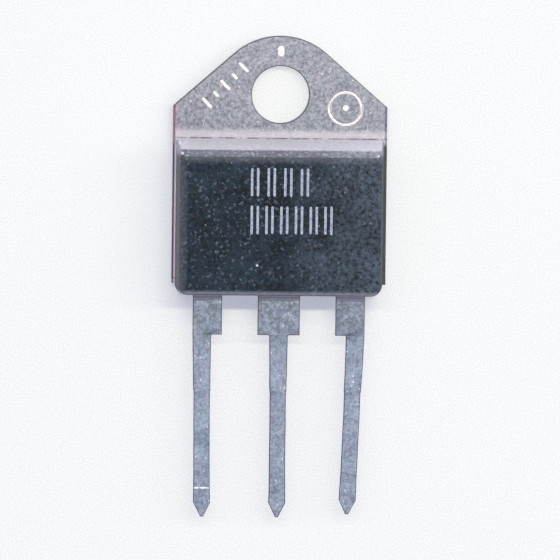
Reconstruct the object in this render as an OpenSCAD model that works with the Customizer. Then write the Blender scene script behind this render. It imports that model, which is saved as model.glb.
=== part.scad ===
// Power transistor in a flat plastic package with a copper mounting tab and three leads.
//
// The part lies on its back. Z = 0 is its mounting face and X = Y = 0 is the axis of the
// mounting hole. +Y points to the rounded end of the tab, and the leads run towards -Y.
// A size called a drop is measured from the hole's axis towards the leads.

/* [Header plate] */
// Width of the copper header plate
header_w = 15.15; // [14.7:0.05:15.6]
// Thickness of the header plate
header_t = 1.27; // [1.17:0.01:1.37]
// Drop of the header's lower end
header_drop = 13.4; // [13:0.05:13.6]
// Distance from the hole's axis to the rounded top of the tab
tab_top = 4.15; // [3.95:0.05:4.5]
// Radius of the rounded top
tab_top_r = 4.95; // [4.4:0.05:5.6]
// Drop of the corners where the tab's slopes meet its sides
tab_corner_drop = 0.85; // [0.4:0.05:1.4]
// Diameter of the mounting hole
hole_d = 4.07; // [3.9:0.01:4.2]
// Width of the bevel pressed along the header's two straight sides
side_bevel_w = 0.2; // [0.1:0.01:0.21]
// Depth of that bevel
side_bevel_d = 0.12; // [0.05:0.01:0.3]
// Drop of the first moisture groove across the header's front
groove_drop = 4.3; // [4.2:0.05:4.5]
// Distance between the two moisture grooves
groove_pitch = 0.45; // [0.4:0.01:0.5]
// Depth of the grooves, which have square V flanks
groove_d = 0.15; // [0.08:0.01:0.18]
// Length of the step under the header's lower end, which the plastic hooks into
lock_step_l = 0.35; // [0.2:0.05:0.5]
// Height of that step
lock_step_h = 0.45; // [0.3:0.05:0.6]

/* [Leads] */
// Thickness of the lead strip
lead_t = 0.6; // [0.5:0.01:0.78]
// Height of the leads' underside above the mounting face
lead_z = 2.2; // [2:0.05:2.4]
// Distance between neighbouring leads, centre to centre
lead_pitch = 5.43; // [5.4:0.01:5.55]
// Width of the leads where they leave their shoulders
pin_root_w = 1.3; // [1.2:0.01:1.35]
// Width of the leads just above the small step that the second punch leaves in their sides
pin_step_w = 1.2; // [1.16:0.01:1.25]
// Drop of that step
pin_step_drop = 20.9; // [18:0.1:24]
// Length of the step
pin_step_l = 0.08; // [0.02:0.01:0.2]
// Width of the leads below the step
pin_w = 1.14; // [1:0.01:1.15]
// Width to which the leads spread just above their points
pin_end_w = 1.19; // [1.15:0.01:1.25]
// Length over which they spread
pin_spread_l = 2; // [1:0.1:4]
// Drop of the leads' tips
tip_drop = 29.85; // [28:0.05:32]
// Length of the pointed end of a lead
point_l = 1; // [0.6:0.05:1.5]
// Width of the blunt end of the point
point_w = 0.2; // [0.1:0.05:0.4]
// Drop of the lower end of the shoulders
shoulder_drop = 16.95; // [16.5:0.05:17.6]
// Width of the shoulders of the two outer leads
outer_shoulder_w = 2.06; // [1.8:0.01:2.3]
// Width of the shoulder of the middle lead
middle_shoulder_w = 2.97; // [2.6:0.01:3.2]
// Radius in the corner between a shoulder and its lead
shoulder_fillet_r = 0.12; // [0.05:0.01:0.2]
// Sideways lean of the base lead towards the middle, at its tip
base_lean = 0.12; // [0:0.01:0.6]
// Sideways lean of the emitter lead towards the middle, at its tip
emitter_lean = 0.47; // [0:0.01:0.8]
// How much shorter the emitter lead is than the others
emitter_trim = 0.25; // [0:0.05:0.5]

/* [Inside the body] */
// Drop of the inner ends of the outer leads
pad_drop = 11.3; // [11:0.05:11.6]
// Length of the wide bonding pad at each inner end
pad_l = 1.9; // [1.6:0.05:2]
// Width of the bonding pads
pad_w = 3.3; // [2.8:0.05:3.5]
// Width of the strip by which a pad stands out past its lead's outer side
pad_overhang = 0.35; // [0.1:0.05:0.6]
// Depth of the V notches that lock the outer leads in the plastic
lead_notch_d = 0.3; // [0.15:0.01:0.35]
// Slope of the cranked part of the middle lead
crank_angle = 50; // [40:1:55]
// Gap on each side of the middle lead, where it is sheared out of the header
crank_gap = 0.35; // [0.2:0.05:0.5]
// Depth of the header's slot around the crank
crank_slot_l = 1.75; // [1.6:0.05:1.9]
// Length of the flat at the root of the crank
crank_root_l = 0.2; // [0.15:0.01:0.3]
// Side of the square silicon die
die_w = 4.8; // [4:0.1:5.2]
// Thickness of the die
die_t = 0.28; // [0.2:0.01:0.35]
// Drop of the die's centre
die_drop = 8.2; // [8:0.05:8.3]
// Thickness of the solder under the die
solder_t = 0.06; // [0.03:0.01:0.1]
// Width of the solder left showing around the die
solder_margin = 0.1; // [0.05:0.01:0.2]
// Diameter of the base wire
base_wire_d = 0.25; // [0.2:0.01:0.3]
// Diameter of the two emitter wires
emitter_wire_d = 0.5; // [0.38:0.01:0.5]
// Height of the wires' loops above the straight line between their ends
loop_rise = 1; // [0.8:0.05:1.1]
// Distance of the wires' ends from the sides of the die and from the pads' inner ends
bond_inset = 0.8; // [0.7:0.05:0.9]
// Distance between the two emitter wires
emitter_wire_gap = 1.1; // [0.9:0.05:1.2]

/* [Moulded body] */
// Thickness of the whole package, from mounting face to front face
package_t = 4.8; // [4.6:0.05:5]
// Drop of the body's edge that faces the mounting hole
body_top_drop = 3.15; // [3:0.05:3.4]
// Drop of the body's lower end, where the leads come out
body_end_drop = 14.2; // [14.1:0.05:14.6]
// Width of the header left bare on each side of the body
ledge_w = 0.23; // [0.22:0.01:0.4]
// Lean of the body's wall that faces the mounting hole
top_wall_lean = 12; // [5:0.5:15]
// Size of the bevel above that wall
top_bevel = 0.52; // [0.2:0.01:0.6]
// Draft of the other three walls
draft = 4; // [1:0.5:5]
// Draft of the lower wall below the leads
under_draft = 6; // [2:0.5:8]
// Bevel round the other three sides of the front face
face_bevel = 0.28; // [0.1:0.01:0.3]
// Radius of the two lower corners, at the height of the leads
corner_r = 0.8; // [0.6:0.05:1]

/* [Hidden] */
$fn = 64;

// Overshoot of a cutting tool past the face that it cuts
cut = 1;

// Tab outline: the slopes run from the corners to the rounded top, and touch it smoothly
header_half = header_w / 2;
top_y = tab_top - tab_top_r;
corner_reach = norm([header_half, -tab_corner_drop - top_y]);
touch_angle = atan2(-tab_corner_drop - top_y, header_half) + acos(tab_top_r / corner_reach);
touch_x = tab_top_r * cos(touch_angle);
touch_y = top_y + tab_top_r * sin(touch_angle);

// Heights of the lead strip where it leaves the header and where it leaves the body
header_strip_z = header_t - lead_t;
lead_top = lead_z + lead_t;

// Crank of the middle lead
slot_root_drop = header_drop - crank_slot_l;
crank_start_drop = slot_root_drop + crank_root_l;
crank_end_drop = crank_start_drop + (lead_z - header_strip_z) / tan(crank_angle);
crank_mitre = lead_t / 2 * tan(crank_angle / 2);
slot_w = middle_shoulder_w + 2 * crank_gap;

// Outer leads, measured outwards from the middle of the part
outer_edge_x = lead_pitch + pin_root_w / 2;
inner_edge_x = outer_edge_x - outer_shoulder_w;
pad_outer_x = outer_edge_x + pad_overhang;
pad_inner_x = pad_outer_x - pad_w;
pad_end_drop = pad_drop + pad_l;
notch_drop = (pad_end_drop + body_end_drop) / 2;

// Heights on the die
die_base = header_t + solder_t;
die_top = die_base + die_t;

// Ends of the wires, measured outwards from the middle, as [out, drop]
pad_bond = [pad_inner_x + pad_w / 2, pad_drop + bond_inset];
base_die_bond = [die_w / 2 - bond_inset, die_drop + die_w / 2 - bond_inset];
emitter_die_bond = [die_w / 2 - bond_inset, die_drop];

// Half width and lower end of the body, and radius of its lower corners, at a height z.
// The draft is taken to the nearest micrometre, so that walls and corner posts meet exactly.
micrometre = 0.001;
body_half_base = header_half - ledge_w;
function shrink(z) = round((max(z, header_t) - header_t) * tan(draft) / micrometre) * micrometre;
function body_half(z) = body_half_base - shrink(z);
function body_end(z) = body_end_drop + shrink(lead_z) - shrink(z);
function body_corner_r(z) = corner_r + shrink(lead_z) - shrink(z);
corner_x = body_half(lead_z) - corner_r;
corner_drop = body_end_drop - corner_r;
bevel_z = package_t - face_bevel;

// Prism along X from a profile of [y, z] points, centred on X = 0
module prism_x(width, profile) {
    rotate([90, 0, 90])
        translate([0, 0, -width / 2])
            linear_extrude(height = width) polygon(profile);
}

// Flat strip of the lead metal from an outline in X and Y, at the leads' height
module lead_strip() {
    translate([0, 0, lead_z]) linear_extrude(height = lead_t) children();
}

// Pointed pin below a shoulder. Its widths are given from top to bottom, as [drop, width].
module pin_outline(x, lean, tip) {
    point_drop = tip - point_l;
    widths = [
        [shoulder_drop, pin_root_w],
        [pin_step_drop, pin_step_w],
        [pin_step_drop + pin_step_l, pin_w],
        [point_drop - pin_spread_l, pin_w],
        [point_drop, pin_end_w],
        [tip, point_w]
    ];
    function middle(drop) = x - lean * (drop - shoulder_drop) / (tip - shoulder_drop);
    function side(i, s) = [middle(widths[i][0]) + s * widths[i][1] / 2, -widths[i][0]];
    last = len(widths) - 1;
    polygon(concat([for (i = [0:last]) side(i, -1)], [for (i = [last:-1:0]) side(i, 1)]));
}

// Fillet between the lower end of a shoulder and the side of its pin.
// side is 1 where the shoulder lies to the pin's right, -1 to its left.
module shoulder_fillet(x, side) {
    overlap = pin_root_w / 4;
    translate([x, -shoulder_drop])
        scale([side, 1])
            difference() {
                translate([-overlap, -shoulder_fillet_r])
                    square([overlap + shoulder_fillet_r, shoulder_fillet_r + overlap]);
                translate([shoulder_fillet_r, -shoulder_fillet_r]) circle(r = shoulder_fillet_r);
            }
}

// Plain plate of the header, with the rounded and sloped tab
module header_plate() {
    translate([0, top_y, 0]) cylinder(h = header_t, r = tab_top_r);
    linear_extrude(height = header_t)
        polygon([
            [touch_x, touch_y], [header_half, -tab_corner_drop], [header_half, -header_drop],
            [-header_half, -header_drop], [-header_half, -tab_corner_drop], [-touch_x, touch_y]
        ]);
}

// Bevel along one straight side of the header, as a tool that cuts it
module side_bevel_cut() {
    bevel_l = header_drop - lock_step_l - tab_corner_drop;
    translate([0, -tab_corner_drop, 0])
        rotate([90, 0, 0])
            linear_extrude(height = bevel_l)
                polygon([
                    [header_half - side_bevel_w, header_t],
                    [header_half, header_t - side_bevel_d],
                    [header_half + cut, header_t - side_bevel_d],
                    [header_half + cut, header_t + cut],
                    [header_half - side_bevel_w, header_t + cut]
                ]);
}

// V groove across the header's front, as a tool that cuts it
module groove_cut(drop) {
    prism_x(header_w - 4 * ledge_w, [
        [-drop - groove_d, header_t],
        [-drop, header_t - groove_d],
        [-drop + groove_d, header_t],
        [-drop + groove_d, header_t + cut],
        [-drop - groove_d, header_t + cut]
    ]);
}

// Cranked strip that joins the header to the middle lead's shoulder
module middle_crank() {
    root_y = -slot_root_drop + lead_t;
    prism_x(middle_shoulder_w, [
        [root_y, header_strip_z],
        [-crank_start_drop - crank_mitre, header_strip_z],
        [-crank_end_drop - crank_mitre, lead_z],
        [-shoulder_drop, lead_z],
        [-shoulder_drop, lead_top],
        [-crank_end_drop + crank_mitre, lead_top],
        [-crank_start_drop + crank_mitre, header_t],
        [root_y, header_t]
    ]);
}

// Header plate, with the middle lead sheared out of its lower end and bent up
module header_tab() {
    color([0.63, 0.64, 0.68]) {
        difference() {
            header_plate();
            translate([0, 0, -cut]) cylinder(h = header_t + 2 * cut, d = hole_d);
            side_bevel_cut();
            mirror([1, 0, 0]) side_bevel_cut();
            for (i = [0, 1]) groove_cut(groove_drop + i * groove_pitch);
            translate([-header_half - cut, -header_drop - cut, -cut])
                cube([header_w + 2 * cut, lock_step_l + cut, lock_step_h + cut]);
            translate([-slot_w / 2, -header_drop - cut, -cut])
                cube([slot_w, crank_slot_l + cut, header_t + 2 * cut]);
        }
        middle_crank();
        lead_strip() {
            pin_outline(0, 0, tip_drop);
            shoulder_fillet(pin_root_w / 2, 1);
            shoulder_fillet(-pin_root_w / 2, -1);
        }
    }
}

// Outer lead on the +X side: bonding pad, notched neck, shoulder and pin
module outer_lead(lean, tip) {
    lead_strip() {
        difference() {
            union() {
                translate([pad_inner_x, -pad_end_drop]) square([pad_w, pad_l]);
                translate([inner_edge_x, -shoulder_drop])
                    square([outer_shoulder_w, shoulder_drop - pad_drop]);
            }
            polygon([
                [outer_edge_x - lead_notch_d, -notch_drop],
                [outer_edge_x + cut, -notch_drop - lead_notch_d - cut],
                [outer_edge_x + cut, -notch_drop + lead_notch_d / 2],
                [outer_edge_x, -notch_drop + lead_notch_d / 2]
            ]);
            polygon([
                [inner_edge_x + lead_notch_d, -notch_drop],
                [inner_edge_x - cut, -notch_drop - lead_notch_d - cut],
                [inner_edge_x - cut, -notch_drop + lead_notch_d / 2],
                [inner_edge_x, -notch_drop + lead_notch_d / 2]
            ]);
        }
        pin_outline(lead_pitch, lean, tip);
        shoulder_fillet(lead_pitch - pin_root_w / 2, -1);
    }
}

// Base lead, on the -X side
module base_lead() {
    color([0.60, 0.62, 0.68]) mirror([1, 0, 0]) outer_lead(base_lean, tip_drop);
}

// Emitter lead, on the +X side
module emitter_lead() {
    color([0.60, 0.62, 0.68]) outer_lead(emitter_lean, tip_drop - emitter_trim);
}

// Layer of solder between the header and the die
module die_solder() {
    side = die_w + 2 * solder_margin;
    color([0.72, 0.72, 0.74])
        translate([-side / 2, -die_drop - side / 2, header_t]) cube([side, side, solder_t]);
}

// Silicon die
module silicon_die() {
    color([0.34, 0.36, 0.42])
        translate([-die_w / 2, -die_drop - die_w / 2, die_base]) cube([die_w, die_w, die_t]);
}

// Looped wire between two bonds, each given as [x, y, z] of the surface under it.
// The loop is part of a circle in an upright plane, and each end has a flattened foot.
module bond_wire(start, finish, wire_d) {
    run = norm([finish.x - start.x, finish.y - start.y]);
    climb = finish.z - start.z;
    chord = norm([run, climb]);
    tilt = atan2(climb, run);
    loop_r = (chord * chord / 4 + loop_rise * loop_rise) / (2 * loop_rise);
    half_turn = asin(chord / 2 / loop_r);
    depth = loop_r - loop_rise;
    translate([start.x, start.y, start.z])
        rotate([0, 0, atan2(finish.y - start.y, finish.x - start.x)]) {
            translate([run / 2 + depth * sin(tilt), 0, climb / 2 - depth * cos(tilt) + wire_d / 2])
                rotate([0, half_turn - tilt - 90, 0])
                    rotate([90, 0, 0])
                        rotate_extrude(angle = 2 * half_turn)
                            translate([loop_r, 0]) circle(d = wire_d, $fn = 32);
            wire_foot(0, 0, wire_d);
            wire_foot(run, climb, wire_d);
        }
}

// Flattened foot of a wire, lying along the wire
module wire_foot(x, z, wire_d) {
    foot_l = 2 * wire_d;
    foot_w = 1.3 * wire_d;
    foot_t = 0.8 * wire_d;
    translate([x - foot_l / 2, -foot_w / 2, z]) cube([foot_l, foot_w, foot_t]);
}

// Wire from the die to the pad of the base lead
module base_wire() {
    color([0.85, 0.86, 0.88])
        bond_wire(
            [-base_die_bond[0], -base_die_bond[1], die_top],
            [-pad_bond[0], -pad_bond[1], lead_top],
            base_wire_d
        );
}

// Wire from the die to the pad of the emitter lead; side is -1 for the wire nearer the middle
module emitter_wire(side) {
    color([0.85, 0.86, 0.88])
        bond_wire(
            [emitter_die_bond[0] + side * emitter_wire_gap / 2,
             -emitter_die_bond[1] + side * emitter_wire_gap / 2, die_top],
            [pad_bond[0] + side * emitter_wire_gap / 2, -pad_bond[1], lead_top],
            emitter_wire_d
        );
}

module emitter_wire_inner() { emitter_wire(-1); }

module emitter_wire_outer() { emitter_wire(1); }

// Half profile of the body across X, from the mounting face to the bevelled front edge
function half_section(side) = [
    [side * body_half(0), 0],
    [side * body_half(header_t), header_t],
    [side * body_half(bevel_z), bevel_z],
    [side * (body_half(bevel_z) - face_bevel), package_t]
];

// Block with drafted sides, a drafted lower end, rounded lower corners and bevelled edges
module drafted_block() {
    section = half_section(1);
    translate([0, -body_top_drop, 0])
        rotate([90, 0, 0])
            linear_extrude(height = corner_drop - body_top_drop)
                polygon(concat(section, [for (i = [3:-1:0]) [-section[i].x, section[i].y]]));
    prism_x(2 * corner_x, [
        [-body_top_drop, 0],
        [-body_end(0), 0],
        [-body_end(header_t), header_t],
        [-body_end(bevel_z), bevel_z],
        [-body_end(bevel_z) + face_bevel, package_t],
        [-body_top_drop, package_t]
    ]);
    for (side = [-1, 1]) translate([side * corner_x, -corner_drop, 0]) corner_post();
}

// Round post that rounds one lower corner and follows the draft and the bevel
module corner_post() {
    post_r = body_corner_r(bevel_z);
    cylinder(h = header_t, r = body_corner_r(0));
    translate([0, 0, header_t])
        cylinder(h = bevel_z - header_t, r1 = body_corner_r(header_t), r2 = post_r);
    translate([0, 0, bevel_z]) cylinder(h = face_bevel, r1 = post_r, r2 = post_r - face_bevel);
}

// Side view that trims the block: leaning upper wall, its bevel, and the wall below the leads
module trimming_profile() {
    wall_top_z = package_t - top_bevel;
    wall_top_drop = body_top_drop + (wall_top_z - header_t) * tan(top_wall_lean);
    prism_x(header_w, [
        [-body_top_drop, 0],
        [-body_end_drop + lead_z * tan(under_draft), 0],
        [-body_end_drop, lead_z],
        [-body_end_drop - cut, lead_z + cut],
        [-body_end_drop - cut, package_t],
        [-wall_top_drop - top_bevel, package_t],
        [-wall_top_drop, wall_top_z],
        [-body_top_drop, header_t]
    ]);
}

// Moulded body, which fills every space around the pieces inside it
module moulded_body() {
    color([0.21, 0.24, 0.29])
        difference() {
            intersection() {
                drafted_block();
                trimming_profile();
            }
            header_tab();
            base_lead();
            emitter_lead();
            die_solder();
            silicon_die();
            base_wire();
            emitter_wire_inner();
            emitter_wire_outer();
        }
}

header_tab();
base_lead();
emitter_lead();
die_solder();
silicon_die();
base_wire();
emitter_wire_inner();
emitter_wire_outer();
moulded_body();
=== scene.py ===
"""Looks, light and camera for the power transistor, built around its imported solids.

Frame: the mounting face is Z = 0, the mounting hole's axis is X = Y = 0, +Y points to the
rounded end of the tab and the leads run towards -Y. Blender's lengths are in metres. Sizes
written here are in millimetres and are multiplied by MM.
"""

import math
import random

import bmesh
import bpy
from mathutils import Matrix, Vector, noise
from mathutils.bvhtree import BVHTree

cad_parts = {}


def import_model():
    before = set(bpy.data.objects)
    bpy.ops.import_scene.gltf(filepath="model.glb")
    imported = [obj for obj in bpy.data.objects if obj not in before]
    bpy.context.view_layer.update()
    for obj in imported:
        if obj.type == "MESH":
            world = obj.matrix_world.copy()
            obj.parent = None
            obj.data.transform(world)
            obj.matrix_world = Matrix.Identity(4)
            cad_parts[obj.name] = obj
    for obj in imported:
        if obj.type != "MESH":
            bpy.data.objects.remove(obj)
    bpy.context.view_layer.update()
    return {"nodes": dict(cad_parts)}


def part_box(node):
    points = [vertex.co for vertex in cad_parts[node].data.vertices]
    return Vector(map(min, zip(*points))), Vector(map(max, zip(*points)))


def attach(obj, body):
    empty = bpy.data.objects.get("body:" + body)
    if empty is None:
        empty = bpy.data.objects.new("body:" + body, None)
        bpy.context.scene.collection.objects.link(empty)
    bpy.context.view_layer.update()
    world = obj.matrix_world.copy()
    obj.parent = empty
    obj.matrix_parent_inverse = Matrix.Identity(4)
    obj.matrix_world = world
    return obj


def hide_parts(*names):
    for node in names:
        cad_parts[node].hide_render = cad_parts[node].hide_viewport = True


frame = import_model()

MM = 0.001
scene = bpy.context.scene

# Places taken from the solids, in millimetres
HEADER_LOW, HEADER_HIGH = [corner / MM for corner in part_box("header_tab")]
BODY_LOW, BODY_HIGH = [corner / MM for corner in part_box("moulded_body")]
BASE_TIP_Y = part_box("base_lead")[0].y / MM
HEADER_HALF = HEADER_HIGH.x
BODY_HALF = BODY_HIGH.x
BODY_TOP_Y = BODY_HIGH.y
BODY_END_Y = BODY_LOW.y
FRONT_Z = BODY_HIGH.z

# Sizes that no solid's box gives: the tab's thickness, and Y at the top of the body's face
TAB_TOP_Z = 1.27
FACE_TOP_Y = -4.313

# Chips and single specks of dust on the body: x, y and radius
CHIPS = ((-6.98, -4.07, 0.13), (6.86, -4.15, 0.1), (-1.64, -11.93, 0.1), (-7.12, -3.42, 0.1))

# How much of a face's normal lies along an axis, where the face points along it, mostly
# points along it, leans towards it, or at most, runs beside it
FACING, MOSTLY, LEANING, ACROSS = 0.9, 0.5, 0.4, 0.3


# ---------------------------------------------------------------- node helpers


def srgb(red, green, blue):
    """Colour of a node socket from the 0 to 255 values that a picture shows."""
    def linear(value):
        value /= 255
        return value / 12.92 if value <= 0.04045 else ((value + 0.055) / 1.055) ** 2.4
    return (linear(red), linear(green), linear(blue), 1.0)


class Shader:
    """One material's node tree, with short ways to add what the materials share."""

    def __init__(self, name):
        self.material = bpy.data.materials.new(name)
        self.material.use_nodes = True
        self.tree = self.material.node_tree
        self.tree.nodes.clear()
        coordinates = self.add("ShaderNodeTexCoord")
        scaled = self.add(
            "ShaderNodeVectorMath", {0: coordinates.outputs["Object"], "Scale": 1 / MM},
            operation="SCALE",
        )
        self.point = scaled.outputs[0]
        axes = self.add("ShaderNodeSeparateXYZ", {0: self.point})
        self.x, self.y, self.z = axes.outputs

    def add(self, kind, inputs=None, **settings):
        """Adds a node. Each input gets a value, or a link from another node's output."""
        node = self.tree.nodes.new(kind)
        for key, value in settings.items():
            setattr(node, key, value)
        for key, value in (inputs or {}).items():
            if isinstance(value, bpy.types.NodeSocket):
                self.tree.links.new(value, node.inputs[key])
            else:
                node.inputs[key].default_value = value
        return node

    def math(self, operation, first, second=0.0):
        return self.add("ShaderNodeMath", {0: first, 1: second}, operation=operation).outputs[0]

    def product(self, first, *others):
        for other in others:
            first = self.math("MULTIPLY", first, other)
        return first

    def highest(self, first, *others):
        for other in others:
            first = self.math("MAXIMUM", first, other)
        return first

    def average(self, first, second, share):
        """Mean of two values, where the first counts for share of it."""
        return self.math("ADD", self.product(first, share), self.product(second, 1 - share))

    def stretched(self, factors, turn=0.0):
        """The point in millimetres, turned about Z and stretched along its axes."""
        return self.add(
            "ShaderNodeMapping",
            {"Vector": self.point, "Scale": factors, "Rotation": (0, 0, math.radians(turn))},
            vector_type="TEXTURE",
        ).outputs[0]

    def noise(self, per_mm, detail=3.0, roughness=0.6, point=None, seed=0.0):
        return self.add(
            "ShaderNodeTexNoise",
            {"Vector": point or self.point, "W": seed, "Scale": per_mm, "Detail": detail,
             "Roughness": roughness},
            noise_dimensions="4D",
        ).outputs["Fac"]

    def between(self, value, low, high, to_low=0.0, to_high=1.0, smooth=False):
        """value mapped from low..high to to_low..to_high, and held at the ends."""
        return self.add(
            "ShaderNodeMapRange",
            {"Value": value, "From Min": low, "From Max": high, "To Min": to_low,
             "To Max": to_high},
            interpolation_type="SMOOTHSTEP" if smooth else "LINEAR",
        ).outputs[0]

    def band(self, value, low, high, soft):
        """1 between low and high, fading to 0 over soft on both sides."""
        rise = self.between(value, low - soft, low)
        fall = self.between(value, high, high + soft, 1.0, 0.0)
        return self.product(rise, fall)

    def distance(self, x, y):
        """Distance in millimetres from a place on the floor."""
        return self.add(
            "ShaderNodeVectorMath", {0: self.point, 1: (x, y, 0)}, operation="DISTANCE"
        ).outputs["Value"]

    def mix(self, share, first, second):
        node = self.add("ShaderNodeMix", data_type="RGBA")
        for socket, value in zip(
            [node.inputs[0], node.inputs[6], node.inputs[7]], [share, first, second]
        ):
            if isinstance(value, bpy.types.NodeSocket):
                self.tree.links.new(value, socket)
            else:
                socket.default_value = value
        return node.outputs[2]

    def speck(self, colour, x, y, radius, pale):
        """The colour with one pale speck of dust, or one chip, at a place in millimetres."""
        away = self.add(
            "ShaderNodeCombineXYZ",
            {0: self.math("SUBTRACT", self.x, x), 1: self.math("SUBTRACT", self.y, y)},
        )
        far = self.add("ShaderNodeVectorMath", {0: away.outputs[0]}, operation="LENGTH")
        return self.mix(self.between(far.outputs["Value"], radius, 0.6 * radius), colour, pale)

    def tinted(self, colour, share, seed):
        """The colour with faint purple and green patches. share is how strong they are."""
        patch = self.between(self.noise(1.7, 2, 0.5, seed=seed), 0.35, 0.65)
        purple = (1 + share, 1 - 0.25 * share, 1 + 0.4 * share, 1)
        green = (1 - share, 1 + 0.25 * share, 1 - 0.2 * share, 1)
        tint = self.mix(patch, purple, green)
        tinted = self.add("ShaderNodeVectorMath", {0: colour, 1: tint}, operation="MULTIPLY")
        return tinted.outputs[0]

    def bump(self, height, depth_mm, strength):
        inputs = {"Height": height, "Distance": depth_mm * MM, "Strength": strength}
        return self.add("ShaderNodeBump", inputs).outputs[0]

    def output(self, surface):
        """Makes a shader node the material's surface and returns the material."""
        self.add("ShaderNodeOutputMaterial", {"Surface": surface.outputs[0]})
        return self.material

    def finish(self, inputs):
        """The material with a plain surface that has these inputs."""
        return self.output(self.add("ShaderNodeBsdfPrincipled", inputs))


# ---------------------------------------------------------------- materials


def plated_metal(name, light, dark, seed, clouded=0.2, tab=False, lead=False):
    """Worn plating: cloudy grain, pits, bright specks and fine scratches.

    clouded says how much of the tone is broad cloud, and the rest of it is fine grain. tab and
    lead add the marks of those places.
    """
    s = Shader(name)
    cloud = s.noise(0.9, 3, 0.6, seed=seed)
    grain = s.noise(4.7, 2, 0.65, seed=seed + 1)
    tone = s.between(s.average(cloud, grain, clouded), 0.34, 0.66)
    colour = s.mix(tone, dark, light)
    colour = s.tinted(colour, 0.04, seed + 8)

    scratches = s.noise(1.0, 1, 0.5, s.stretched((2.2, 0.045, 1), 24), seed + 2)
    crossing = s.noise(1.0, 1, 0.5, s.stretched((0.05, 1.9, 1), -12), seed + 3)
    lines = s.highest(s.between(scratches, 0.68, 0.74), s.between(crossing, 0.7, 0.76))
    colour = s.mix(s.product(lines, 0.38), colour, srgb(200, 202, 214))

    pits = s.between(s.noise(11, 1, 0.5, seed=seed + 4), 0.33, 0.27)
    colour = s.mix(s.product(pits, 0.45), colour, srgb(80, 80, 88))
    specks = s.between(s.noise(7, 0, 0.5, seed=seed + 5), 0.75, 0.87)
    colour = s.mix(specks, colour, srgb(190, 190, 204))

    roughness = s.between(cloud, 0.3, 0.7, 0.40, 0.48)
    if tab:
        colour, roughness = tab_marks(s, colour, roughness)
    if lead:
        colour = lead_marks(s, colour)
    rough = s.noise(4.5, 4, 0.75, seed=seed + 6)
    height = s.math("SUBTRACT", rough, s.product(pits, 0.5))
    return s.finish({
        "Base Color": colour, "Metallic": 1.0, "Roughness": roughness,
        "Normal": s.bump(height, 0.02, 0.45),
    })


def tab_marks(s, colour, roughness):
    """Marks on the front of the tab, and of the narrow ledges that it leaves beside the body.

    A stripe of painted reflection crosses the tab next to the body, with a broken dark seam at
    the body. The ledge has a painted highlight on the left with a rim of painted shade, and
    painted shade on the right.
    """
    on_front = s.between(s.z, TAB_TOP_Z - 0.2, TAB_TOP_Z - 0.1)
    streaks = s.noise(1.0, 3, 0.7, s.stretched((0.4, 0.06, 1)), 7.5)
    # Painted reflection: a lighter stripe across the tab next to the body.
    reflection_stripe = s.product(
        s.between(s.y, BODY_TOP_Y + 0.88, BODY_TOP_Y + 0.3, smooth=True), on_front,
        s.between(streaks, 0.3, 0.6, 0.55, 1.0),
    )
    colour = s.mix(s.product(reflection_stripe, 0.85), colour, srgb(148, 144, 160))
    roughness = s.math("SUBTRACT", roughness, s.product(reflection_stripe, 0.08))

    seam = s.band(s.y, BODY_TOP_Y + 0.02, BODY_TOP_Y + 0.09, 0.03)
    broken = s.between(s.noise(1.6, 3, 0.7, seed=9.2), 0.42, 0.56)
    colour = s.mix(s.product(seam, on_front, broken), colour, srgb(84, 80, 92))

    # Painted light on the ledges beside the body: a painted highlight on the left ledge, a rim of
    # painted shade at its outer edge, and painted shade on the right ledge.
    ledge = s.product(beside_body(s), on_front)
    lit_left_shaded_right = s.mix(s.between(s.x, -1, 1), srgb(146, 142, 162), srgb(26, 36, 37))
    colour = s.mix(s.product(ledge, 0.85), colour, lit_left_shaded_right)
    shaded_rim = s.between(s.x, -HEADER_HALF + 0.12, -HEADER_HALF + 0.07)
    colour = s.mix(s.product(ledge, shaded_rim), colour, srgb(60, 54, 68))
    return copper_wear(s, colour), roughness


def beside_body(s):
    """1 on the stretch of the header that the body covers, and 0 on the bare tab."""
    return s.between(s.y, BODY_TOP_Y - 0.1, BODY_TOP_Y - 0.5)


def copper_wear(s, colour):
    """Bare copper along the sheared left edge of the tab's front."""
    side = s.between(s.x, -HEADER_HALF + 0.26, -HEADER_HALF + 0.16)
    front = s.between(s.z, TAB_TOP_Z - 0.7, TAB_TOP_Z - 0.15)
    on_tab = s.between(s.y, BODY_TOP_Y - 1.2, BODY_TOP_Y + 0.2, 0.1, 1.0)
    wear_and_highlight = s.between(s.noise(0.9, 3, 0.7, seed=3.3), 0.38, 0.58, 0.4, 0.9)
    return s.mix(s.product(side, front, wear_and_highlight, on_tab), colour, srgb(152, 112, 127))


def lead_marks(s, colour):
    """Grime near the body, painted light on the body's shadow, a dark line at the body, and a
    nick in the base lead.
    """
    grime = s.between(s.y, BODY_END_Y - 4.0, BODY_END_Y - 1.8, 0.0, 1.0, smooth=True)
    blotch = s.between(s.noise(3.6, 3, 0.8, seed=12.1), 0.4, 0.6, 0.05, 0.9)
    colour = s.mix(s.product(grime, blotch), colour, srgb(74, 79, 90))
    # Painted light: the strip by the body is lightened to cancel the body's shadow on the leads.
    painted_lit_strip = s.between(s.y, BODY_END_Y - 0.3, BODY_END_Y - 0.22, 0.0, 0.75)
    colour = s.mix(painted_lit_strip, colour, srgb(146, 148, 166))
    # A thin dark line on the leads right at the body.
    dark_line_by_body = s.band(s.y, BODY_END_Y - 0.15, BODY_END_Y - 0.04, 0.04)
    colour = s.mix(s.product(dark_line_by_body, 0.4), colour, srgb(74, 68, 82))
    nick = s.band(s.y, BASE_TIP_Y + 2.0, BASE_TIP_Y + 2.07, 0.04)
    on_base_lead = s.between(s.x, -3.0, -3.1)
    ragged = s.between(s.noise(2.4, 2, 0.6, seed=14.6), 0.4, 0.55, 0.1, 0.8)
    return s.mix(s.product(nick, on_base_lead, ragged), colour, srgb(206, 208, 220))


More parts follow.
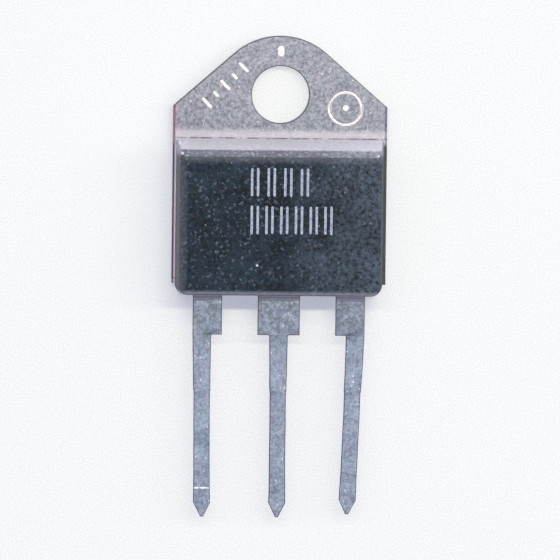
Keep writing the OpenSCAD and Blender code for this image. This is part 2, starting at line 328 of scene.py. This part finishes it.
def cut_edge(name, light, dark, header=False):
    """Rims and sheared sides of the stamped metal, with the press's upright drag lines.

    The header's sides carry painted shade beside the body, and a little on the tab's right.
    """
    s = Shader(name)
    spots = s.noise(6, 3, 0.7, seed=21)
    drag = s.noise(1.0, 2, 0.6, s.stretched((0.1, 0.1, 1.6)), 22)
    tone = s.average(spots, drag, 0.6)
    colour = s.mix(s.between(tone, 0.38, 0.62), dark, light)
    if header:
        # Painted shade on the header's sides beside the body, and faintly on the tab's right
        # side.
        side_shade = s.highest(beside_body(s), s.between(s.x, 0, 1, 0.0, 0.4))
        on_side = s.between(s.math("ABSOLUTE", s.x), HEADER_HALF - 0.2, HEADER_HALF - 0.1)
        shaded_sides = s.product(side_shade, on_side, 0.8)
        colour = s.mix(shaded_sides, copper_wear(s, colour), srgb(38, 34, 42))
    return s.finish({
        "Base Color": colour, "Metallic": 1.0,
        "Roughness": s.between(tone, 0.3, 0.7, 0.3, 0.5),
        "Normal": s.bump(tone, 0.01, 0.3),
    })


def moulded_epoxy(
    name, light, dark, fleck, share, gloss=0.12, bloom=(0.0, 0.5), dust=srgb(180, 188, 206),
    wear_and_highlight=None, lit_near_tab=None
):
    """Dark epoxy, clouded, with a fine grain, pale flecks of filler, bright dust, and chips.

    share says how much of the surface the flecks take, from 0 to about 0.1. gloss is the level
    of the plain shine, and bloom the weight and roughness of the pale sheen of mould release.
    wear_and_highlight is the colour of the painted highlight along the face's margins, and
    lit_near_tab the colour of the painted light that a side wall has next to the tab.
    """
    s = Shader(name)
    cloud = s.noise(0.4, 3, 0.6, seed=31)
    grain = s.noise(3.5, 3, 0.8, seed=32)
    tone = s.between(s.average(cloud, grain, 0.4), 0.43, 0.58)
    colour = s.tinted(s.mix(tone, dark, light), 0.2, 36)
    # Painted light: the epoxy turns paler, with flecks, towards +X.
    painted_light_right = s.between(s.math("ADD", s.x, s.product(cloud, 8)), 4.0, 11.5, 0.0, 0.48)
    colour = s.mix(s.product(painted_light_right, s.between(grain, 0.35, 0.6)), colour, fleck)
    flecks = s.between(s.noise(4.3, 1, 0.6, seed=33), 0.60 - share, 0.75 - share)
    crowded = s.between(s.noise(0.28, 2, 0.5, seed=35), 0.38, 0.6, 0.45, 1.0)
    colour = s.mix(s.product(flecks, crowded, 0.6), colour, fleck)
    motes = s.between(s.noise(5.0, 0, 0.5, seed=34), 0.78 - share, 0.87 - share)
    colour = s.mix(s.product(motes, 0.48), colour, dust)
    for x, y, radius in CHIPS:
        colour = s.speck(colour, x, y, radius, srgb(206, 208, 224))
    # Painted highlight along the face's margins.
    if wear_and_highlight:
        colour = s.mix(margin_highlights(s, grain), colour, wear_and_highlight)
    # Painted light on a side wall next to the tab.
    if lit_near_tab:
        by_tab = s.between(s.y, BODY_TOP_Y - 1.35, BODY_TOP_Y - 0.75, smooth=True)
        colour = s.mix(by_tab, colour, lit_near_tab)
    return s.finish({
        "Base Color": colour, "Roughness": s.between(grain, 0.3, 0.7, 0.46, 0.64),
        "Specular IOR Level": gloss, "Sheen Weight": bloom[0], "Sheen Roughness": bloom[1],
        "Sheen Tint": (0.87, 0.85, 1.0, 1.0),
        "Normal": s.bump(grain, 0.012, 0.4),
    })


def margin_highlights(s, grain):
    """Share of painted highlight along the margins of the body's front."""
    left = s.between(s.x, -BODY_HALF + 0.92, -BODY_HALF + 0.25, 0.0, 0.3, smooth=True)
    right = s.between(s.x, BODY_HALF - 0.5, BODY_HALF - 0.3, 0.0, 0.03, smooth=True)
    lower = s.between(s.y, BODY_END_Y + 0.56, BODY_END_Y + 0.2, smooth=True)
    upper = s.between(s.y, FACE_TOP_Y - 0.6, FACE_TOP_Y - 0.05, 0.0, 0.26, smooth=True)
    margin = s.highest(left, right, lower, upper)
    return s.product(margin, s.between(grain, 0.3, 0.6, 0.55, 1.0))


def plain_grained(name, light, dark, per_mm, metallic, rough):
    """Simple grained finish for the small pieces."""
    s = Shader(name)
    tone = s.noise(per_mm, 3, 0.65, seed=41)
    return s.finish({
        "Base Color": s.mix(s.between(tone, 0.35, 0.65), dark, light), "Metallic": metallic,
        "Roughness": s.between(tone, 0.3, 0.7, rough - 0.06, rough + 0.08),
        "Normal": s.bump(tone, 0.004, 0.3),
    })


def paper():
    """White sheet under the part. Part of its white is plain, so the shadows on it stay soft.

    The plain part is smaller around the body, where that makes the body's shadow deeper, but
    not in the hole, beside the right wall or among the leads.
    """
    s = Shader("white_paper")
    fibre = s.between(s.noise(10, 1, 0.8, seed=51), 0.3, 0.7)
    above_leads = s.between(s.y, BODY_END_Y - 2.4, BODY_END_Y - 1.3)
    left_of_wall = s.between(s.x, BODY_HALF - 0.2, BODY_HALF - 1.0)
    out_of_hole = s.between(s.distance(0, 0), 2.0, 2.2)
    near_body = s.between(s.distance(0, -9), 24, 10, smooth=True)
    shaded = s.product(above_leads, left_of_wall, out_of_hole, near_body)
    colour = s.mix(fibre, srgb(238, 238, 236), srgb(255, 255, 252))
    lit = s.add("ShaderNodeBsdfDiffuse", {"Color": colour, "Roughness": 0.0})
    # Painted shade: around the body the plain white is a little darker and bluer, so the body's
    # shadow there turns lilac.
    low = s.mix(shaded, srgb(229, 230, 240), srgb(221, 224, 248))
    high = s.mix(shaded, srgb(253, 254, 255), srgb(241, 244, 255))
    plain = s.add("ShaderNodeEmission", {"Color": s.mix(fibre, low, high), "Strength": 1.0})
    path = s.add("ShaderNodeLightPath").outputs
    seen = s.highest(path["Is Camera Ray"], path["Is Glossy Ray"])
    share = s.product(seen, s.between(shaded, 0.0, 1.0, 0.7, 0.46))
    return s.output(
        s.add("ShaderNodeMixShader", {0: share, 1: lit.outputs[0], 2: plain.outputs[0]})
    )


NICKEL = plated_metal("nickel_plate", srgb(120, 122, 137), srgb(77, 78, 93), 0.0, tab=True)
# Shaded copy of the nickel for the header's rims: painted darker, as painted shade.
NICKEL_EDGE_SHADED = cut_edge("nickel_edge_shaded", srgb(104, 105, 117), srgb(66, 67, 78), header=True)
TIN = plated_metal(
    "tinned_lead", srgb(125, 133, 156), srgb(77, 84, 106), 60.0, clouded=0.42, lead=True
)
# Shaded copy of the tin for the leads' rims: painted darker, as painted shade.
TIN_EDGE_SHADED = cut_edge("tinned_edge_shaded", srgb(84, 88, 108), srgb(48, 52, 70))
# Painted glint: the coined marks are painted bright.
MARK_GLINT = cut_edge("mark_glint", srgb(192, 186, 198), srgb(140, 134, 148))
# The body's epoxy comes in lit and shaded copies, one for each way a face points. The top wall
# and the bevel are painted lighter, as painted highlight, the right wall darker, as painted
# shade, and the other walls lighter than the face, the left one less so.
EPOXY = moulded_epoxy(
    "epoxy_face", srgb(33, 47, 63), srgb(0, 4, 13), srgb(105, 117, 137), 0.02,
    wear_and_highlight=srgb(148, 151, 165)
)
EPOXY_WALL = moulded_epoxy(
    "epoxy_wall", srgb(60, 60, 74), srgb(38, 40, 52), srgb(124, 126, 142), 0.02,
    bloom=(0.25, 0.6), lit_near_tab=srgb(160, 156, 178)
)
EPOXY_LEFT = moulded_epoxy(
    "epoxy_left_wall", srgb(46, 42, 55), srgb(26, 22, 34), srgb(110, 108, 124), 0.02,
    bloom=(0.15, 0.6), lit_near_tab=srgb(160, 156, 178)
)
EPOXY_RIGHT_SHADED = moulded_epoxy(
    "epoxy_right_wall_shaded", srgb(30, 39, 46), srgb(7, 12, 17), srgb(95, 110, 124), 0.02,
    lit_near_tab=srgb(140, 142, 164)
)
EPOXY_BEVEL_LIT = moulded_epoxy(
    "epoxy_bevel_lit", srgb(104, 107, 126), srgb(64, 69, 86), srgb(192, 192, 208), 0.05,
    bloom=(0.4, 0.8)
)
EPOXY_TOP_LIT = moulded_epoxy(
    "epoxy_top_wall_lit", srgb(104, 99, 122), srgb(40, 38, 54), srgb(220, 214, 236), 0.09,
    gloss=0.5, bloom=(1.0, 0.8), dust=srgb(248, 246, 252)
)
INK = plain_grained("pale_ink", srgb(180, 188, 212), srgb(112, 120, 148), 6, 0.0, 0.6)
SILICON = plain_grained("silicon", srgb(98, 102, 118), srgb(80, 84, 98), 3, 0.6, 0.22)
SOLDER = plain_grained("solder", srgb(182, 182, 186), srgb(140, 140, 146), 5, 1.0, 0.42)
WIRE = plain_grained("aluminium_wire", srgb(222, 223, 228), srgb(190, 191, 198), 8, 1.0, 0.3)


# ---------------------------------------------------------------- mesh helpers


def new_piece(name, mesh, *materials):
    """A new object with this mesh, and these materials in its slots."""
    piece = bpy.data.objects.new(name, mesh)
    scene.collection.objects.link(piece)
    for material in materials:
        mesh.materials.append(material)
    return piece


def clean_copy(node):
    """A copy of a solid's mesh with whole flat faces and no tiny edges, as a bmesh."""
    tiny, flat = 0.004 * MM, math.radians(0.2)
    shape = bmesh.new()
    shape.from_mesh(frame["nodes"][node].data)
    bmesh.ops.remove_doubles(shape, verts=shape.verts, dist=tiny)
    bmesh.ops.dissolve_limit(shape, angle_limit=flat, verts=shape.verts, edges=shape.edges)
    for face in shape.faces:
        face.material_index = 0
    return shape


def cut_across(shape, y):
    """Cuts all faces of a shape along the plane at y, in millimetres."""
    bmesh.ops.bisect_plane(
        shape, geom=shape.verts[:] + shape.edges[:] + shape.faces[:],
        plane_co=(0, y * MM, 0), plane_no=(0, 1, 0), dist=1e-7,
    )


def to_mesh(name, shape):
    """A mesh made from a bmesh, which is freed."""
    mesh = bpy.data.meshes.new(name)
    shape.to_mesh(mesh)
    shape.free()
    return mesh


def round_edges(piece, radius_mm, segments, edge_slot=-1):
    """Rounds the weighted edges. edge_slot is the material of the rounding, or -1 for its own."""
    bevel = piece.modifiers.new("rounded_edges", "BEVEL")
    bevel.width = radius_mm * MM
    bevel.segments = segments
    bevel.limit_method = "WEIGHT"
    bevel.use_clamp_overlap = False
    bevel.loop_slide = False
    bevel.material = edge_slot


def settle(piece):
    """Turns a piece's modifiers into plain mesh."""
    graph = bpy.context.evaluated_depsgraph_get()
    mesh = bpy.data.meshes.new_from_object(piece.evaluated_get(graph))
    piece.modifiers.clear()
    old = piece.data
    piece.data = mesh
    mesh.name = piece.name
    bpy.data.meshes.remove(old)


def smooth(piece, sharp_deg=40):
    """Smooth shading that keeps flat faces flat and true corners sharp."""
    piece.data.shade_smooth()
    piece.data.set_sharp_from_angle(angle=math.radians(sharp_deg))
    weights = piece.modifiers.new("flat_faces", "WEIGHTED_NORMAL")
    weights.keep_sharp = True


def weigh_rims(shape):
    """Marks the rims of the front and back faces that the body doesn't cover, for rounding."""
    last_open, near = BODY_END_Y + 0.2, 0.05
    cut_across(shape, last_open)

    def is_open(vertex):
        x, y, _ = vertex.co / MM
        return abs(x) > BODY_HALF - near or y > BODY_TOP_Y - near or y < last_open + near

    weight = shape.edges.layers.float.new("bevel_weight_edge")
    for edge in shape.edges:
        tilts = sorted(abs(face.normal.z) for face in edge.link_faces)
        if len(tilts) == 2 and tilts[0] < ACROSS and tilts[1] > FACING:
            if all(is_open(vertex) for vertex in edge.verts):
                edge[weight] = 1.0


def wander(shape, tip_y, seed):
    """Cuts a lead across, short of its point, and moves it off straight by a hair.

    drift is for the whole lead, own for each of its sides and lift for its height.
    """
    first, step, point_mm = BODY_END_Y - 0.6, 0.55, 1.0
    drift_mm, own_mm, lift_mm, grown_after = 0.02, 0.012, 0.015, 2.0
    for i in range(int((first - tip_y - point_mm) / step)):
        cut_across(shape, first - i * step)
    for vertex in shape.verts:
        x, y, _ = vertex.co / MM
        grow = min(1.0, max(0.0, (first - y) / grown_after))
        side = 1 if x > 0 else -1
        drift = noise.noise(Vector((seed, y * 0.45, 0)))
        own = noise.noise(Vector((seed + 9 + round(x), y * 1.3, side)))
        lift = noise.noise(Vector((seed + 5, y * 0.7, 3)))
        vertex.co.x += grow * (drift_mm * drift + own_mm * own) * MM
        vertex.co.z += grow * lift_mm * lift * MM


# ---------------------------------------------------------------- coined marks


def capsule(shape, middle, length, width, thickness, turn=0.0, ends=8):
    """Flat stroke with round ends, lying at middle and turned about Z."""
    radius, straight = width / 2, length - width
    outline = []
    for end in (1, -1):
        for i in range(ends + 1):
            a = math.pi * i / ends
            outline.append(
                end * Vector((radius * math.cos(a), straight / 2 + radius * math.sin(a), 0))
            )
    spin = Matrix.Rotation(turn, 3, "Z")
    centre = Vector(middle)
    low, high = (
        [shape.verts.new((centre + spin @ point + Vector((0, 0, lift))) * MM)
         for point in outline]
        for lift in (-thickness / 2, thickness / 2)
    )
    shape.faces.new(high)
    shape.faces.new(reversed(low))
    for i in range(len(outline)):
        j = (i + 1) % len(outline)
        shape.faces.new((low[i], low[j], high[j], high[i]))


def groove_ring(shape, centre, radius, width, depth, around=48, across=8):
    """Ring whose round section is half sunk into the surface at centre."""
    rings = []
    for i in range(around):
        a = 2 * math.pi * i / around
        out = Vector((math.cos(a), math.sin(a), 0))
        ring = []
        for j in range(across):
            b = 2 * math.pi * j / across
            point = Vector(centre) + out * (radius + width / 2 * math.cos(b))
            point.z += depth * math.sin(b)
            ring.append(shape.verts.new(point * MM))
        rings.append(ring)
    for i in range(around):
        for j in range(across):
            k, m = (i + 1) % around, (j + 1) % across
            shape.faces.new([rings[i][j], rings[k][j], rings[k][m], rings[i][m]])


def mark_cutter():
    """Shallow punches: a row of strokes along the slope, a dot, and a ring with a dot."""
    shape = bmesh.new()
    depth, stroke_w, stroke_l, strokes = 0.08, 0.22, 0.95, 5
    start, end = Vector((-5.2, -0.62, TAB_TOP_Z)), Vector((-2.62, 1.92, TAB_TOP_Z))
    slope = math.atan2(end.y - start.y, end.x - start.x)
    for i in range(strokes):
        length = stroke_l if i % 2 == 0 else 0.6 * stroke_l
        capsule(shape, start.lerp(end, i / (strokes - 1)), length, stroke_w, 2 * depth, slope)
    capsule(shape, (0.02, 3.1, TAB_TOP_Z), 0.75, 0.42, 2 * depth)
    ring_at = (4.62, -0.88, TAB_TOP_Z)
    groove_ring(shape, ring_at, 1.15, 0.27, depth)
    capsule(shape, ring_at, 0.42, 0.41, 2 * depth)
    bmesh.ops.recalc_face_normals(shape, faces=shape.faces)
    return new_piece("mark_cutter", to_mesh("mark_cutter", shape), MARK_GLINT)


def cut_marks(piece):
    """Cuts the coined marks into a piece, and deletes the cutter."""
    cutter = mark_cutter()
    cut = piece.modifiers.new("coined_marks", "BOOLEAN")
    cut.operation, cut.solver, cut.object = "DIFFERENCE", "EXACT", cutter
    cut.material_mode = "TRANSFER"
    settle(piece)
    mesh = cutter.data
    bpy.data.objects.remove(cutter)
    bpy.data.meshes.remove(mesh)


# ---------------------------------------------------------------- pieces


def header_piece():
    """Header plate and middle lead: rounded edges, coined marks, and tin on the lead."""
    front_slot, lead_slot, edge_slot = range(3)
    shape = clean_copy("header_tab")
    wander(shape, HEADER_LOW.y, 1.0)
    weigh_rims(shape)
    lead_from = BODY_END_Y + 1.0
    for face in shape.faces:
        if face.calc_center_median().y / MM < lead_from:
            face.material_index = lead_slot
        elif abs(face.normal.z) < ACROSS:
            face.material_index = edge_slot
        else:
            face.material_index = front_slot
    mesh = to_mesh("header_plate_skin", shape)
    piece = new_piece("header_plate_skin", mesh, NICKEL, TIN, NICKEL_EDGE_SHADED)
    round_edges(piece, 0.07, 3, edge_slot)
    settle(piece)
    cut_marks(piece)
    smooth(piece)
    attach(piece, "root")
    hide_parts("header_tab")


def lead_piece(node, seed):
    """Base or emitter lead, a hair off straight, with rounded rims."""
    shape = clean_copy(node)
    wander(shape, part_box(node)[0].y / MM, seed)
    weigh_rims(shape)
    piece = new_piece(node + "_skin", to_mesh(node + "_skin", shape), TIN, TIN_EDGE_SHADED)
    round_edges(piece, 0.05, 2, edge_slot=1)
    settle(piece)
    smooth(piece)
    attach(piece, "root")
    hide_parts(node)


def outer_faces(shape):
    """The faces of a shape that lie on its convex hull, which leaves out its cavities."""
    hull = bmesh.new()
    for vertex in shape.verts:
        hull.verts.new(vertex.co)
    bmesh.ops.convex_hull(hull, input=hull.verts)
    outside = BVHTree.FromBMesh(hull)
    hull.free()
    touching = 0.002 * MM
    return {
        face for face in shape.faces
        if outside.find_nearest(face.calc_center_median())[3] < touching
    }


def body_finish(normal):
    """Lit or shaded copy of the epoxy for one of the body's outer faces, by the way it faces."""
    if normal.z > FACING:
        return EPOXY
    if normal.y > FACING:
        return EPOXY_TOP_LIT
    if normal.z > LEANING:
        return EPOXY_BEVEL_LIT if normal.y > LEANING else EPOXY
    if abs(normal.x) > MOSTLY:
        return EPOXY_LEFT if normal.x < 0 else EPOXY_RIGHT_SHADED
    return EPOXY_WALL


def body_piece():
    """Moulded body with softly rounded outer edges."""
    shape = clean_copy("moulded_body")
    outer = outer_faces(shape)
    weight = shape.edges.layers.float.new("bevel_weight_edge")
    corner = math.radians(12)
    for edge in shape.edges:
        pair = edge.link_faces
        if len(pair) == 2 and outer.issuperset(pair) and edge.calc_face_angle(0) > corner:
            edge[weight] = 1.0
    # Lit and shaded copies of the epoxy, picked by the way each face points.
    finishes = [EPOXY, EPOXY_WALL, EPOXY_BEVEL_LIT, EPOXY_TOP_LIT, EPOXY_LEFT, EPOXY_RIGHT_SHADED]
    for face in outer:
        face.material_index = finishes.index(body_finish(face.normal))
    piece = new_piece("moulded_body_skin", to_mesh("moulded_body_skin", shape), *finishes)
    round_edges(piece, 0.12, 3)
    settle(piece)
    smooth(piece)
    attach(piece, "root")
    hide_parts("moulded_body")


def bare_print():
    """Two rows of plain strokes where the body was printed."""
    shape = bmesh.new()
    dice = random.Random(5)
    ink_t, stroke_w, stroke_h, gap, left = 0.014, 0.175, 2.05, 0.42, -2.05
    rows = ((-6.05, 4, 1.17), (-8.72, 6, 1.04))
    for row_y, cells, pitch in rows:
        for cell in range(cells):
            for stroke in range(2):
                x = left + cell * pitch + stroke * gap
                length = stroke_h * dice.uniform(0.94, 1.0)
                capsule(shape, (x, row_y, FRONT_Z), length, stroke_w, ink_t)
    bmesh.ops.recalc_face_normals(shape, faces=shape.faces)
    piece = new_piece("printed_strokes", to_mesh("printed_strokes", shape), INK)
    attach(piece, "root")


def inner_pieces():
    """Finishes of the solids that the body hides, which are shown as they are."""
    finishes = {
        "silicon_die": SILICON, "die_solder": SOLDER, "base_wire": WIRE,
        "emitter_wire_inner": WIRE, "emitter_wire_outer": WIRE,
    }
    for name, material in finishes.items():
        materials = frame["nodes"][name].data.materials
        materials.clear()
        materials.append(material)


header_piece()
lead_piece("base_lead", 4.0)
lead_piece("emitter_lead", 7.0)
body_piece()
bare_print()
inner_pieces()


# ---------------------------------------------------------------- floor, light and camera


def floor():
    """White sheet, a hair below the part's back so that the two don't coincide."""
    half, sunk_mm = 1.0, 0.003
    mesh = bpy.data.meshes.new("paper")
    mesh.from_pydata(
        [(-half, -half, 0), (half, -half, 0), (half, half, 0), (-half, half, 0)], [],
        [(0, 1, 2, 3)],
    )
    piece = new_piece("paper", mesh, paper())
    piece.location.z = -sunk_mm * MM


def world(level):
    """Even light from all round, which the camera and reflections see as plain white."""
    made = bpy.data.worlds.new("white_studio")
    scene.world = made
    made.use_nodes = True
    tree = made.node_tree
    tree.nodes.clear()
    path = tree.nodes.new("ShaderNodeLightPath").outputs
    seen = path["Is Camera Ray"]
    for ray in ("Is Glossy Ray", "Is Transmission Ray"):
        either = tree.nodes.new("ShaderNodeMath")
        either.operation = "MAXIMUM"
        tree.links.new(seen, either.inputs[0])
        tree.links.new(path[ray], either.inputs[1])
        seen = either.outputs[0]
    mixed = tree.nodes.new("ShaderNodeMixShader")
    tree.links.new(seen, mixed.inputs[0])
    bluish, white = (0.86, 0.90, 1.34, 1), (1, 1, 1, 1)
    for socket, colour, strength in ((1, bluish, level), (2, white, 1)):
        light = tree.nodes.new("ShaderNodeBackground")
        light.inputs["Color"].default_value = colour
        light.inputs["Strength"].default_value = strength
        tree.links.new(light.outputs[0], mixed.inputs[socket])
    output = tree.nodes.new("ShaderNodeOutputWorld")
    tree.links.new(mixed.outputs[0], output.inputs["Surface"])


def lamp(name, place, size, share):
    """Area lamp in millimetres, aimed at the middle of the part, a little yellow.

    share is how much of full white it gives a level surface. spread allows for the ends of a
    long lamp, which are farther away than its middle.
    """
    aim, yellowish = Vector((0, -13, 2)), (1.05, 1.04, 0.81)
    data = bpy.data.lights.new(name, "AREA")
    data.shape = "RECTANGLE"
    data.color = yellowish
    data.size, data.size_y = [side * MM for side in size]
    way = (aim - Vector(place)) * MM
    back = -way.normalized()
    half = data.size / 2 / way.length
    spread = (half / (1 + half ** 2) + math.atan(half)) / (2 * half)
    data.energy = share * math.pi ** 2 * way.length_squared / back.z / spread
    along = (Vector((1, 0, 0)) - back * back.x).normalized()
    turn = Matrix((along, back.cross(along), back)).transposed()
    holder = bpy.data.objects.new(name, data)
    holder.location = Vector(place) * MM
    holder.rotation_euler = turn.to_euler()
    scene.collection.objects.link(holder)


def camera():
    """Long lens almost straight above the part, as in the photograph."""
    pitch, yaw, roll = math.radians(3.0), math.radians(-1.85), math.radians(0.66)
    aim = Vector((0.104, -13.122, TAB_TOP_Z))
    distance, frame_px, px_per_mm = 800.0, 560, 14.124
    data = bpy.data.cameras.new("camera")
    data.sensor_width = 36.0
    data.lens = data.sensor_width * distance / (frame_px / px_per_mm)
    data.clip_start, data.clip_end = 0.01, 5.0
    turn = (
        Matrix.Rotation(yaw, 3, "Y") @ Matrix.Rotation(-pitch, 3, "X")
        @ Matrix.Rotation(roll, 3, "Z")
    )
    holder = bpy.data.objects.new("camera", data)
    back = turn.col[2]
    holder.location = (aim + back * distance) * MM
    holder.rotation_euler = turn.to_euler()
    scene.collection.objects.link(holder)
    scene.camera = holder


floor()
world(0.34)
lamp("long_lamp", (80, 70, 300), (900, 15), 0.395)
lamp("short_lamp", (15, 70, 300), (180, 15), 0.385)
lamp("side_lamp", (150, -20, 240), (200, 120), 0.06)
camera()
scene.view_settings.view_transform = "Standard"
